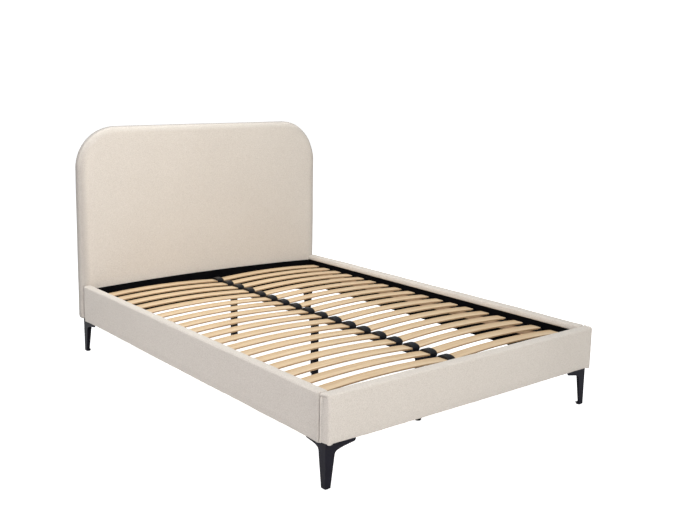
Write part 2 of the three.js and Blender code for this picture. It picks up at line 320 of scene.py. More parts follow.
def turn_normals_out(mesh):
    shape = bmesh.new()
    shape.from_mesh(mesh)
    bmesh.ops.recalc_face_normals(shape, faces=shape.faces)
    shape.to_mesh(mesh)
    shape.free()


def point_values(source, count, key):
    """One (x, y, z) for each point, read from a mesh's vertices or normals."""
    flat = np.zeros(count * 3, np.float32)
    source.foreach_get(key, flat)
    return flat.reshape(-1, 3).astype(float)


def points_of(mesh):
    return point_values(mesh.vertices, len(mesh.vertices), "co")


def set_points(mesh, points):
    mesh.vertices.foreach_set("co", np.asarray(points, np.float32).ravel())
    mesh.update()


def normals_of(mesh):
    return point_values(mesh.vertex_normals, len(mesh.vertices), "vector")


def bake_modifiers(piece):
    """Replaces the piece's mesh with the one its modifiers make."""
    graph = bpy.context.evaluated_depsgraph_get()
    mesh = bpy.data.meshes.new_from_object(piece.evaluated_get(graph))
    piece.modifiers.clear()
    piece.data = mesh


def weigh_normals(piece):
    """Shades the large faces flat, so that only the narrow ones between them look rounded."""
    weight = piece.modifiers.new("normals", "WEIGHTED_NORMAL")
    weight.keep_sharp = True
    bake_modifiers(piece)


def crisp(piece, width, angle, segments=2):
    """Bevels the edges that are sharper than the angle, in degrees, and shades the rest smooth."""
    bevel = piece.modifiers.new("edges", "BEVEL")
    bevel.width = width
    bevel.segments = segments
    bevel.limit_method = "ANGLE"
    bevel.angle_limit = math.radians(angle)
    bevel.harden_normals = False
    bake_modifiers(piece)
    piece.data.shade_smooth()
    weigh_normals(piece)


def ring_faces(rings, count):
    """Quads that join successive closed rings of `count` points."""
    faces = []
    for low in range(0, (rings - 1) * count, count):
        for i in range(count):
            j = (i + 1) % count
            faces.append((low + i, low + j, low + count + j, low + count + i))
    return faces


def lofted(rings):
    """Points and faces of a tube through closed rings, with its two ends closed."""
    count = len(rings[0])
    points = np.concatenate([np.asarray(r, float) for r in rings])
    faces = ring_faces(len(rings), count)
    faces.append(tuple(range(count))[::-1])
    faces.append(tuple(range(len(points) - count, len(points))))
    return points, faces


def joined(parts):
    """Several (points, faces) as one."""
    points, faces, start = [], [], 0
    for part_points, part_faces in parts:
        points.append(np.asarray(part_points, float))
        faces += [tuple(i + start for i in face) for face in part_faces]
        start += len(part_points)
    return np.concatenate(points), faces


def block(lo, hi):
    """Points and faces of a box from its corners, to be bevelled later."""
    (x0, y0, z0), (x1, y1, z1) = lo, hi
    bottom = [(x0, y0, z0), (x1, y0, z0), (x1, y1, z0), (x0, y1, z0)]
    top = [(x, y, z1) for x, y, _ in bottom]
    return lofted([bottom, top])


def rounded_rectangle(width, depth, radius, steps=4):
    """Plan points of a rectangle with round corners, centred on the origin."""
    points = []
    for quarter, (sx, sy) in enumerate(((1, 1), (-1, 1), (-1, -1), (1, -1))):
        centre = np.array([sx * (width / 2 - radius), sy * (depth / 2 - radius)])
        for k in range(steps + 1):
            angle = math.radians(90 * (quarter + k / steps))
            points.append(centre + radius * np.array([math.cos(angle), math.sin(angle)]))
    return np.array(points)


def at_height(plan, z):
    """A plan outline as points at one height."""
    return np.column_stack([plan, np.full(len(plan), z)])


def upright(outline, y):
    """An outline of X and Z as points at one Y, or at a Y for each point."""
    return np.column_stack([outline[:, 0], np.broadcast_to(y, len(outline)), outline[:, 1]])


def unit_circle(steps):
    angles = np.arange(steps) * 2 * math.pi / steps
    return np.column_stack([np.cos(angles), np.sin(angles)])


def prism(plan, levels):
    """A solid from a plan outline drawn at several (height, inset) levels. Inset shrinks it evenly."""
    size = np.abs(plan).max(0)
    rings = [at_height(plan * (1 - inset / size), z) for z, inset in levels]
    return lofted(rings)


def revolved(profile, steps=32):
    """A solid of revolution about Z from (radius, height) points, the first and last near the axis."""
    circle = unit_circle(steps)
    return lofted([at_height(circle * max(r, NEAR_AXIS), z) for r, z in profile])


def moved(part, offset):
    """The (points, faces) part somewhere else."""
    points, faces = part
    return np.asarray(points, float) + np.asarray(offset, float), faces


def turned_about_z(part, quarter_turns):
    """The (points, faces) part rotated about Z by whole quarter turns."""
    points, faces = part
    angle = quarter_turns * math.pi / 2
    c, s = round(math.cos(angle)), round(math.sin(angle))
    x, y, z = np.asarray(points, float).T
    return np.column_stack([x * c - y * s, x * s + y * c, z]), faces


def carve(piece, cutters):
    """Cuts the (points, faces) solids out of the piece."""
    for cutter in cutters:
        tool = make_piece("cutter", *cutter, steel, body=None)
        cut = piece.modifiers.new("cut", "BOOLEAN")
        cut.operation = "DIFFERENCE"
        cut.solver = "EXACT"
        cut.object = tool
        bake_modifiers(piece)
        bpy.data.objects.remove(tool)


def refinish(names, material):
    """CAD pieces that keep their shapes and take a detailed finish."""
    for name in names:
        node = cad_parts[name]
        node.data.materials.clear()
        node.data.materials.append(material)


def corners_of(node):
    """A CAD node's lowest and highest corners, as arrays."""
    return [np.array(corner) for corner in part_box(node)]


# ---- upholstery ----

SKIN_CELL = 0.0125  # grid spacing on the covers before their one subdivision
CLOTH_FRAMES = 20
CLOTH_SETTINGS = {
    "quality": 4,
    "mass": 0.25,
    "tension_stiffness": 12,
    "compression_stiffness": 12,
    "bending_stiffness": 0.8,
    "use_pressure": True,
    "uniform_pressure_force": 3.0,
    "vertex_group_mass": "held",
}
MARGIN_STEPS = 4
FACE_DEPTH = 0.004  # how far behind a face the cloth still counts as part of it
HEM_WAVE = 0.0007
ALONG_EDGE = np.array([1, 1, 0])  # keeps lumps the same at every height
TALL_LUMPS = np.array([1, 1, 0.35])  # draws lumps out upward


class Skin:
    """An open outer skin of quads, with the point behind each of its points."""

    def __init__(self, points, behind, faces):
        self.points = np.asarray(points, float)
        self.behind = np.asarray(behind, float)
        self.faces = [tuple(map(int, f)) for f in faces]

    def rim(self):
        """Edges used by one face only, in that face's own direction."""
        once = {}
        for face in self.faces:
            for a, b in zip(face, face[1:] + face[:1]):
                key = (min(a, b), max(a, b))
                once[key] = None if key in once else (a, b)
        return [edge for edge in once.values() if edge]

    def closed(self):
        """The skin with its back and its rim, as one closed form."""
        count = len(self.points)
        back = [tuple(i + count for i in reversed(face)) for face in self.faces]
        walls = [(b, a, a + count, b + count) for a, b in self.rim()]
        return np.concatenate([self.points, self.behind]), self.faces + back + walls


def swell(skin, cap, name):
    """Inflates the skin as cloth held at its rim. No point moves more than the cap."""
    piece = make_piece(name, skin.points, skin.faces, boucle, body=None)
    held = piece.vertex_groups.new(name="held")
    held.add(sorted({i for edge in skin.rim() for i in edge}), 1.0, "REPLACE")
    cloth = piece.modifiers.new("cloth", "CLOTH")
    for key, value in CLOTH_SETTINGS.items():
        setattr(cloth.settings, key, value)
    cloth.settings.effector_weights.gravity = 0
    cloth.collision_settings.use_collision = False
    cloth.point_cache.frame_start = 1
    cloth.point_cache.frame_end = CLOTH_FRAMES
    for step in range(1, CLOTH_FRAMES + 1):
        bpy.context.scene.frame_set(step)
    bake_modifiers(piece)
    moved_by = points_of(piece.data) - skin.points
    length = np.linalg.norm(moved_by, axis=1, keepdims=True)
    skin.points = skin.points + moved_by * np.tanh(length / cap) * cap / np.maximum(length, 1e-9)
    bpy.data.objects.remove(piece)
    bpy.context.scene.frame_set(1)


def upholster(name, skin, shape_details, replaced):
    """Closes a skin, subdivides it once and adds its seams and tucks."""
    points, faces = skin.closed()
    piece = make_piece(name, points, faces, boucle)
    smooth = piece.modifiers.new("smooth", "SUBSURF")
    smooth.levels = smooth.render_levels = 1
    bake_modifiers(piece)
    set_points(piece.data, shape_details(points_of(piece.data), normals_of(piece.data)))
    piece.data.shade_smooth()
    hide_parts(replaced)
    return piece


def paint_shade(piece, share):
    """Sets how much shade is painted into the cloth's colour at each point of the piece, from 0 to 1."""
    painted_shade = piece.data.attributes.new("painted_shade", "FLOAT", "POINT")
    painted_shade.data.foreach_set("value", np.asarray(share, np.float32))


def undulation(points, size, seed):
    """A smooth field from about -1 to 1 over the points, in lumps of the given size."""
    offset = Vector((seed, seed * 0.7, -seed * 1.3))
    return np.array([noise.noise(Vector(p) / size + offset) for p in points]) * 1.6


def ramp_up(value, start, width):
    """0 below start, then an even rise to 1 over the width."""
    return np.clip((value - start) / width, 0, 1)


def bell(value, width):
    """1 at 0, and a smooth fall to nothing on both sides."""
    return np.exp(-((value / width) ** 2))


def on_face(distance, depth=FACE_DEPTH):
    """1 on a face and down to the given depth behind it, then an even fall to 0."""
    return 1 - ramp_up(distance, depth, FACE_DEPTH)


def lumps(points, *layers):
    """Slight unevenness: a sum of smooth fields, each (size of its lumps, height, seed)."""
    return sum(height * undulation(points, size, seed) for size, height, seed in layers)


def crease(points, start, end, width, fade):
    """How deep a crease between two places is at each point, from 0 to 1. It fades towards its end."""
    line = end - start
    share = np.clip((points - start) @ line / (line @ line), 0, 1)
    distance = np.linalg.norm(points - start - share[:, None] * line, axis=1)
    return bell(distance, width) * (1 - fade * share)


def hem_change(points, low, hang, from_face, seed):
    """How much higher the lower edge of a cover gets as it hangs and waves below its board."""
    wave = lumps(points * ALONG_EDGE, (0.03, HEM_WAVE, seed))
    return (wave - hang) * bell(points[:, 2] - low, 0.006) * on_face(from_face, 0.005)


def axis_lines(lo, hi, lo_radius, hi_radius, stops):
    """Grid lines from lo to hi: close together in the rounded margins and through every stop."""
    angles = np.radians(np.linspace(45, 0, MARGIN_STEPS + 1))
    low = lo + lo_radius * (1 - np.tan(angles))
    high = hi - hi_radius * (1 - np.tan(angles[::-1]))
    fixed = sorted([low[-1], *[s for s in stops if low[-1] < s < high[0]], high[0]])
    lines = [low[:-1]]
    for a, b in zip(fixed, fixed[1:]):
        cells = max(1, round((b - a) / SKIN_CELL))
        lines.append(np.linspace(a, b, cells + 1)[:-1])
    return np.concatenate([*lines, high])


def box_skin(lo, hi, radii, low_radii, pocket, stops, is_open):
    """The soft skin of a padded box. radii are ((x, X), (y, Y), (z, Z)), one for each side.

    low_radii stand in for them in the lower half. pocket is the (lowest, highest) corner of the
    space inside. Faces whose middle is_open says is open are left out.
    """
    lo, hi = np.asarray(lo, float), np.asarray(hi, float)
    radii = np.asarray(radii, float)
    lines = [axis_lines(lo[a], hi[a], *radii[a], stops[a]) for a in range(3)]
    index, points, faces = {}, [], []

    def vertex(key):
        if key not in index:
            index[key] = len(points)
            points.append([lines[a][key[a]] for a in range(3)])
        return index[key]

    for a in range(3):
        b, c = (a + 1) % 3, (a + 2) % 3
        for end, outward in ((0, -1), (len(lines[a]) - 1, 1)):
            for i in range(len(lines[b]) - 1):
                for j in range(len(lines[c]) - 1):
                    corners = [(i, j), (i + 1, j), (i + 1, j + 1), (i, j + 1)][::outward]
                    keys = []
                    for u, v in corners:
                        key = [0, 0, 0]
                        key[a], key[b], key[c] = end, u, v
                        keys.append(tuple(key))
                    middle = np.mean([[lines[k][key[k]] for k in range(3)] for key in keys], axis=0)
                    if not is_open(middle, a, outward):
                        faces.append([vertex(key) for key in keys])
    points = np.array(points)
    below = points[:, 2:] < (lo[2] + hi[2]) / 2
    from_lo = np.where(below, np.asarray(low_radii, float)[:, 0], radii[:, 0])
    from_hi = np.where(below, np.asarray(low_radii, float)[:, 1], radii[:, 1])
    inner = np.clip(points, lo + from_lo, hi - from_hi)
    radius = np.where(points < inner, from_lo, from_hi)
    away = (points - inner) / radius
    away /= np.linalg.norm(away, axis=1, keepdims=True)
    pocket_lo, pocket_hi = np.asarray(pocket[0], float), np.asarray(pocket[1], float)
    behind = pocket_lo + (points - lo) / (hi - lo) * (pocket_hi - pocket_lo)
    return Skin(inner + away * radius, behind, faces)


# How the cloth and its foam wrap a board. Inside a rail the cloth is turned down a little way.
WRAP_FOAM = 0.012
WRAP_TOP = 0.010
WRAP_RETURN = 0.003
RETURN_DEPTH = 0.0165
HEM_THICK = 0.002
HEM_REACH = 0.032
SOFT_OVER = 0.001  # covers start this much outside the CAD faces, and swell a little more
SWELL_CAP = 0.0028
# Radii of a rail's soft edges: outside, outside at the hem, inside, then (foot, head) and (bottom, top).
RAIL_OUTER_EDGE = 0.008
RAIL_HEM_EDGE = 0.003
RAIL_INNER_EDGE = 0.007
RAIL_ENDS = (0.007, 0.004)
RAIL_LEVELS = (0.003, 0.008)
RAIL_CROWN = 0.0018  # how much its top rises to the middle of its length
SEAM_DEPTH = 0.0036  # how far the cloth is drawn in at a rail's ends
SEAM_WIDTH = 0.0065
RIDGE_PLACE = 0.0042  # the fold on the foot panel beside that seam
RIDGE_HEIGHT = 0.0030
RIDGE_WIDTH = 0.0026
# How much shade is painted into the cloth's colour where it lies away from the light, from 0 to 1.
PAINTED_SHADE_AT_RAIL_END = 0.36
PAINTED_SHADE_AT_FOOT_END = (0.17, 0.39)  # at the foot panel's front edge and at its seam
PAINTED_SHADE_ON_BAND = (0.55, 1.0)  # on the headboard's side band and on its top band
PAINTED_SHADE_ON_ROLL = {"left": 0.72, "right": 0.15, "top": 0.16}
# Radii of the foot panel's soft edges: (left, right), (front, back) and (bottom, top).
FOOT_EDGES = ((0.010, 0.006), (0.010, 0.003), (0.003, 0.007))
FOOT_HEM_EDGES = ((0.009, 0.004), (0.008, 0.003), (0.003, 0.007))  # in the panel's lower half
FOOT_WRAP = 0.020  # how far the cloth is turned in behind each of the foot panel's ends
# How far the cloth hangs below its board: (Y, drop) on a rail and (X, drop) on the foot panel.
RAIL_HEM = [(-1.02, 0.006), (-0.95, 0.007), (-0.7, 0.009), (0.4, 0.0105), (0.9, 0.0085)]
FOOT_HEM = [(-0.75, 0.003), (-0.7, 0.0045), (-0.57, 0.008), (0.06, 0.008), (0.3, 0.0052), (0.75, 0.004)]
FOOT_RISE = [(-0.75, 0.0), (-0.45, 0.0032), (0.3, 0.004), (0.75, 0.006)]  # (X, rise) of its inner top edge
RIGHT_RISE = 0.0065  # how much higher the right rail's cloth stands at its outer edge
END_DRAW = {-1: 0.0075, 1: -0.001}  # how far the foot panel's ends are drawn in towards its front
# The folds gathered over a top front corner: start and end, measured inward from the corner, then
# width and depth. A fold with a negative depth stands out.
TUCK_FOLDS = [
    ((0.000, 0.038, 0.008), (0.000, 0.012, 0.006), 0.0030, -0.0026),
    ((0.000, 0.036, 0.0145), (0.000, 0.010, 0.0125), 0.0030, 0.0052),
    ((0.001, 0.008, 0.006), (0.001, 0.006, 0.030), 0.0032, -0.0020),
    ((0.000, 0.030, 0.016), (0.000, 0.024, 0.060), 0.0034, 0.0032),
    ((0.006, 0.024, 0.000), (0.018, 0.008, 0.001), 0.0036, 0.0032),
    ((0.010, 0.001, 0.008), (0.024, 0.0, 0.036), 0.0050, 0.0018),
]
TUCK_FADE = 0.8


def rail_pad(side_name):
    """One side rail's padded cover: open at both ends, under the board and inside below the return."""
    side = SIDES[side_name]
    lo, hi = corners_of(f"{side_name}_rail_cover")
    outer, inner = (lo[0], hi[0]) if side < 0 else (hi[0], lo[0])
    pocket_x = sorted([outer - side * WRAP_FOAM, inner + side * WRAP_RETURN])
    pocket = (
        (pocket_x[0], lo[1], lo[2] + HEM_THICK),
        (pocket_x[1], hi[1], hi[2] - WRAP_TOP),
    )
    return_z = hi[2] - RETURN_DEPTH
    hem_x = outer - side * HEM_REACH
    soft_lo, soft_hi = lo.copy(), hi.copy()
    soft_hi[2] += SOFT_OVER
    (soft_lo if side < 0 else soft_hi)[0] += side * SOFT_OVER

    def is_open(middle, axis, outward):
        if axis == 1:
            return True
        if axis == 0 and outward == -side:
            return middle[2] < return_z
        return axis == 2 and outward < 0 and (middle[0] - hem_x) * side < 0

    edges = ((RAIL_OUTER_EDGE, RAIL_INNER_EDGE)[::-side], RAIL_ENDS, RAIL_LEVELS)
    hem_edges = ((RAIL_HEM_EDGE, RAIL_INNER_EDGE)[::-side], RAIL_ENDS, RAIL_LEVELS)
    near_foot = [lo[1] + step for step in (0.0095, 0.013)]
    stops = ([hem_x], near_foot, [return_z])
    skin = box_skin(soft_lo, soft_hi, edges, hem_edges, pocket, stops, is_open)
    swell(skin, SWELL_CAP, f"{side_name}_rail_cloth")

    def details(points, normals):
        x, y, z = points.T
        from_face = np.abs(x - outer)
        shift = lumps(points, (0.085, 0.0005, 3.1 + side), (0.3, 0.0008, 7.7))
        shift += lumps(points * TALL_LUMPS, (0.028, 0.0006, 5.2)) * bell(z - hi[2] + 0.014, 0.014)
        from_end = np.minimum(y - lo[1], hi[1] - y)
        shift -= (SEAM_DEPTH + lumps(points, (0.02, 0.0008, 6.1))) * bell(from_end, SEAM_WIDTH)
        shift *= on_face(np.minimum(from_face, np.abs(z - hi[2])))
        shaped = points + normals * shift[:, None]
        shaped[:, 2] += hem_change(points, lo[2], np.interp(y, *zip(*RAIL_HEM)), from_face, 8.8)
        crown = RAIL_CROWN * np.cos(y * math.pi / (hi[1] - lo[1]))
        shaped[:, 2] += crown * ramp_up(z, hi[2] - 0.004, 0.004)
        if side > 0:
            towards_outside = 0.35 + 0.65 * (x - lo[0]) / (hi[0] - lo[0])
            shaped[:, 2] += RIGHT_RISE * ramp_up(z, hi[2] - 0.024, 0.016) * towards_outside
        return shaped

    piece = upholster(f"{side_name}_rail_pad", skin, details, f"{side_name}_rail_cover")
    # Painted shade on the rail's cloth below its top, strongest at its foot end.
    _, y, z = points_of(piece.data).T
    below_top = ramp_up(hi[2] - z, 0.006, 0.02)
    paint_shade(piece, PAINTED_SHADE_AT_RAIL_END * below_top * np.exp((lo[1] - y) / 0.035))


def foot_pad():
    """The foot panel's padded cover, which also wraps round both of its ends."""
    lo, hi = corners_of("foot_cover")
    depth = hi[1] - lo[1]
    pocket = (
        (lo[0] + WRAP_FOAM, lo[1] + WRAP_FOAM, lo[2] + HEM_THICK),
        (hi[0] - WRAP_FOAM, hi[1] - WRAP_RETURN, hi[2] - WRAP_TOP),
    )
    return_z = hi[2] - RETURN_DEPTH
    hem_y = lo[1] + HEM_REACH
    end_x = abs(lo[0]) - WRAP_FOAM - FOOT_WRAP
    soft_lo = lo - np.array([SOFT_OVER, SOFT_OVER, 0])
    soft_hi = hi + np.array([SOFT_OVER, 0, SOFT_OVER])

    def is_open(middle, axis, outward):
        within = abs(middle[0]) < end_x
        if axis == 1 and outward > 0:
            return within and middle[2] < return_z
        return axis == 2 and outward < 0 and within and middle[1] > hem_y

    close = np.arange(0.012, 0.034, 0.0045)
    ends = [side * (hi[0] - step) for side in (-1, 1) for step in close if hi[0] - step > end_x]
    tops = [hi[2] - step for step in (0.013, 0.017, 0.022, 0.032, 0.040)]
    fronts = [lo[1] + step for step in (0.014, 0.018, 0.022, 0.027, 0.0345, 0.0375)]
    stops = ([-end_x, end_x, *ends], [hem_y, *fronts], [return_z, *tops])
    skin = box_skin(soft_lo, soft_hi, FOOT_EDGES, FOOT_HEM_EDGES, pocket, stops, is_open)
    swell(skin, SWELL_CAP, "foot_cloth")

    def details(points, normals):
        x, y, z = points.T
        from_face = np.minimum.reduce([np.abs(y - lo[1]), hi[0] - np.abs(x), np.abs(z - hi[2])])
        shift = lumps(points, (0.09, 0.0005, 1.4), (0.32, 0.0008, 2.9))
        for side in (-1, 1):
            shift -= corner_tuck(points, side, lo, hi)
        shift += seam_ridge(points, hi)
        shaped = points + normals * (shift * on_face(from_face))[:, None]
        shaped[:, 2] += hem_change(points, lo[2], np.interp(x, *zip(*FOOT_HEM)), y - lo[1], 2.2)
        towards_back = ramp_up(y, lo[1] + 0.006, depth - 0.006)
        rise = np.interp(x, *zip(*FOOT_RISE)) * np.maximum(towards_back, 0.8 * ramp_up(x, 0.5, 0.25))
        shaped[:, 2] += rise * ramp_up(z, hi[2] - 0.004, 0.004)
        towards_front = ramp_up(hi[1] - y, 0.008, depth - 0.008)
        for side, draw in END_DRAW.items():
            shaped[:, 0] -= side * draw * ramp_up(x * side, hi[0] - 0.045, 0.037) * towards_front
        return shaped

    piece = upholster("foot_pad", skin, details, "foot_cover")
    # Painted shade on the foot panel's two ends, deeper towards the seam with the rail.
    x, y, z = points_of(piece.data).T
    near_end = ramp_up(np.abs(x), hi[0] - 0.020, 0.012)
    clear_of_edges = ramp_up(hi[2] - z, 0, 0.01) * ramp_up(hi[1] - y, 0.006, 0.004)
    at_front, at_seam = PAINTED_SHADE_AT_FOOT_END
    share = at_front + (at_seam - at_front) * (y - lo[1]) / depth
    paint_shade(piece, near_end * clear_of_edges * share)


def seam_ridge(points, hi):
    """The fold that stands out at each end of the foot panel, along the seam with the rail."""
    at_end = ramp_up(np.abs(points[:, 0]), hi[0] - 0.006, 0.004)
    from_seam = RIDGE_PLACE + lumps(points * np.array([0, 0, 1]), (0.03, 0.0008, 3.3))
    height = RIDGE_HEIGHT + lumps(points, (0.025, 0.0009, 4.6))
    return height * bell(hi[1] - points[:, 1] - from_seam, RIDGE_WIDTH) * at_end


def corner_tuck(points, side, lo, hi):
    """The folds of cloth gathered over a top front corner of the foot panel, as depths."""
    corner = np.array([side * hi[0], lo[1], hi[2]])
    inward = np.array([-side, 1, -1])
    depth = np.zeros(len(points))
    for start, end, width, deep in TUCK_FOLDS:
        depth += deep * crease(points, corner + inward * start, corner + inward * end, width, TUCK_FADE)
    return depth


# ---- headboard ----

HEAD_TOP_RADIUS = 0.225
HEAD_FOOT_RADIUS = 0.014
HEAD_OVER = 0.003  # how far its soft edges stand out past the CAD outline
HEAD_EDGE = 0.038  # how far in from its edge the front starts to roll over into the side band
HEAD_ROLL = 0.022  # how deep that roll is
HEAD_BACK_EDGE = 0.007
HEAD_SPREAD = {-1: (0.0, 0.0105), 1: (0.0065, 0.006)}  # how far each side stands out at its top and foot
HEAD_TILT = 0.0045  # how far the top edge rises from its middle to the right, and drops to the left
HEAD_WINDOW = 0.045  # width of cloth turned onto the back
HEAD_SWELL_CAP = 0.003
HEAD_COLUMNS = 112
HEAD_ROWS = 76
HEAD_GRID_INSET = 0.213  # the front is a plain grid inside this inset, and rings outside it
BOARD_GAP = 0.0003


def headboard_ring(lo, hi, inset):
    """The headboard's outline, inset evenly, as X and Z points. It starts at the bottom left corner.

    Each side's points are spaced evenly from the middle of one corner to the middle of the next.
    """
    top = max(HEAD_TOP_RADIUS - inset, 0.004)
    foot = max(HEAD_FOOT_RADIUS - inset, 0.002)
    x0, x1, z0, z1 = lo[0] + inset, hi[0] - inset, lo[2] + inset, hi[2] - inset
    corners = [
        (x0 + foot, z0 + foot, foot),
        (x1 - foot, z0 + foot, foot),
        (x1 - top, z1 - top, top),
        (x0 + top, z1 - top, top),
    ]

    def half_corner(x, z, radius, start):
        angles = np.radians(np.linspace(start, start + 45, 25))
        return np.column_stack([x + radius * np.cos(angles), z + radius * np.sin(angles)])

    sides = []
    for number, cells in enumerate((HEAD_COLUMNS, HEAD_ROWS, HEAD_COLUMNS, HEAD_ROWS)):
        start = (225 + 90 * number) % 360
        leaving = half_corner(*corners[number], start)
        arriving = half_corner(*corners[(number + 1) % 4], (start + 45) % 360)
        path = np.concatenate([leaving, arriving])
        lengths = np.r_[0, np.cumsum(np.linalg.norm(np.diff(path, axis=0), axis=1))]
        wanted = np.linspace(0, lengths[-1], cells + 1)[:-1]
        sides.append(np.column_stack([np.interp(wanted, lengths, path[:, k]) for k in range(2)]))
    return np.concatenate(sides)


def headboard_sections(y_front, y_back):
    """(inset, y) from the edge of the middle grid over the front edge and round to the back window."""
    sections = [(s, y_front) for s in np.linspace(HEAD_GRID_INSET, HEAD_EDGE, 17)]
    for angle in np.radians(np.linspace(12, 90, 7)):
        sections.append((HEAD_EDGE * (1 - math.sin(angle)), y_front + HEAD_ROLL * (1 - math.cos(angle))))
    for y in np.linspace(y_front + HEAD_ROLL, y_back - HEAD_BACK_EDGE, 4)[1:]:
        sections.append((0.0, y))
    for angle in np.radians(np.linspace(22.5, 90, 4)):
        roll = HEAD_BACK_EDGE * (1 - math.cos(angle))
        sections.append((roll, y_back - HEAD_BACK_EDGE * (1 - math.sin(angle))))
    sections += [(s, y_back) for s in np.linspace(HEAD_BACK_EDGE, HEAD_WINDOW, 5)[1:]]
    return sections


def grid_inside(ring):
    """Points and faces of a grid whose edge is the ring, numbered from 0 with the ring first."""
    columns, rows = HEAD_COLUMNS, HEAD_ROWS
    count = len(ring)
    bottom = list(range(columns + 1))
    right = list(range(columns, columns + rows + 1))
    top = list(range(columns + rows, 2 * columns + rows + 1))[::-1]
    left = [0] + list(range(count - 1, 2 * columns + rows - 1, -1))
    number = np.zeros((rows + 1, columns + 1), int)
    number[0], number[-1] = bottom, top
    number[:, -1], number[:, 0] = right, left
    extra = []
    for r in range(1, rows):
        for c in range(1, columns):
            u, v = c / columns, r / rows
            edges = (
                (1 - v) * ring[bottom[c]]
                + v * ring[top[c]]
                + (1 - u) * ring[left[r]]
                + u * ring[right[r]]
            )
            corners = (
                (1 - u) * (1 - v) * ring[bottom[0]]
                + u * (1 - v) * ring[bottom[-1]]
                + (1 - u) * v * ring[top[0]]
                + u * v * ring[top[-1]]
            )
            number[r, c] = count + len(extra)
            extra.append(edges - corners)
    faces = [
        (number[r, c], number[r, c + 1], number[r + 1, c + 1], number[r + 1, c])
        for r in range(rows)
        for c in range(columns)
    ]
    return np.array(extra), faces


def headboard_skin(lo, hi, pocket_y):
    """The headboard's cover, from its front face round to the window in its back."""
    y_front, y_back = lo[1] + SOFT_OVER, hi[1]
    soft_lo, soft_hi = lo - HEAD_OVER, hi + HEAD_OVER
    soft_lo[2] = lo[2]
    sections = headboard_sections(y_front, y_back)
    foam = ([0, HEAD_EDGE, HEAD_WINDOW], [WRAP_FOAM, WRAP_FOAM + 0.003, HEAD_WINDOW])
    points, behind = [], []
    for inset, y in sections:
        points.append(upright(headboard_ring(soft_lo, soft_hi, inset), y))
        inner = headboard_ring(soft_lo, soft_hi, max(inset, np.interp(inset, *foam)))
        share = np.clip((y - y_front) / (y_back - y_front), 0, 1)
        behind.append(upright(inner, pocket_y[0] + share * (pocket_y[1] - pocket_y[0])))
    count = len(points[0])
    extra, grid = grid_inside(points[0][:, [0, 2]])
    start = len(sections) * count
    faces = ring_faces(len(sections), count)
    faces += [tuple(i if i < count else i - count + start for i in face) for face in grid]
    points.append(upright(extra, y_front))
    behind.append(upright(extra, pocket_y[0]))
    return Skin(np.concatenate(points), np.concatenate(behind), faces)


def headboard_pad():
    """The padded headboard, with small gathers where the cloth turns its round corners."""
    lo, hi = corners_of("headboard_cover")
    board_lo, board_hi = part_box("headboard_board")
    skin = headboard_skin(lo, hi, (board_lo[1] - BOARD_GAP, board_hi[1] + BOARD_GAP))
    swell(skin, HEAD_SWELL_CAP, "headboard_cloth")
    centre_z = hi[2] - HEAD_TOP_RADIUS
    centre_x = hi[0] - HEAD_TOP_RADIUS

    def rim_radius(x, z):
        """The distance from the middle of a top corner. Along the sides and the top it's straight."""
        return np.hypot(np.maximum(np.abs(x) - centre_x, 0), np.maximum(z - centre_z, 0))

    def details(points, normals):
        x, y, z = points.T
        rim = rim_radius(x, z)
        side_band = (rim > HEAD_TOP_RADIUS - 0.008) | (np.abs(x) > hi[0] - 0.008)
        exposed = np.maximum(ramp_up(lo[1] + 0.012 - y, 0, 0.006), side_band)
        shift = lumps(points, (0.12, 0.0004, 4.2), (0.45, 0.0012, 9.3))
        angle = np.arctan2(z - centre_z, np.abs(x) - centre_x)
        in_corner = np.clip(np.minimum(angle, math.pi / 2 - angle) / 0.25, 0, 1) * (rim > 0.12)
        gathers = np.sin(angle * 62 + 1.7 * np.sin(angle * 23)) * 0.00045
        shift += gathers * in_corner * bell(rim - HEAD_TOP_RADIUS + 0.006, 0.022)
        shaped = points + normals * (shift * exposed)[:, None]
        low = ramp_up(centre_z - z, 0, centre_z - lo[2])
        straight = ramp_up(centre_z + 0.08 - z, 0, 0.08)
        for side, (above, below) in HEAD_SPREAD.items():
            spread = above * straight + (below - above) * low**0.8
            shaped[:, 0] += side * ramp_up(x * side, hi[0] - 0.05, 0.05) * spread
        tilt = HEAD_TILT * np.clip(x / centre_x, -1, 1)
        shaped[:, 2] += tilt * ramp_up(z, centre_z, HEAD_TOP_RADIUS)
        return shaped

    piece = upholster("headboard_pad", skin, details, "headboard_cover")
    # Painted shade on the side and top bands and on the front's roll into them, heavier on the left roll
    # than the right.
    x, y, z = points_of(piece.data).T
    rim = rim_radius(x, z)
    upward = np.maximum(z - centre_z, 0) / np.maximum(rim, 1e-6)
    band = ramp_up(y, lo[1] + 0.006, 0.012) * np.interp(upward, (0, 1), PAINTED_SHADE_ON_BAND)
    roll = 1 - ramp_up(np.maximum(HEAD_TOP_RADIUS - rim, 0), 0.012, 0.032)
    at_side = np.where(x < 0, PAINTED_SHADE_ON_ROLL["left"], PAINTED_SHADE_ON_ROLL["right"])
    roll *= at_side + (PAINTED_SHADE_ON_ROLL["top"] - at_side) * upward
    paint_shade(piece, np.maximum(band, roll))


# ---- boards and the cloth on the back ----

DUST_CLOTH = 0.0006
DUST_OVERLAP = 0.002
DUST_GAP = 0.0013  # how far behind the board it's stretched
CROSS_END_TOP = 0.337  # height of the cross board's top edge at its two ends
CROSS_COLUMNS = 60
BOARDS = ["headboard_board", "left_rail_board", "right_rail_board", "foot_board"]


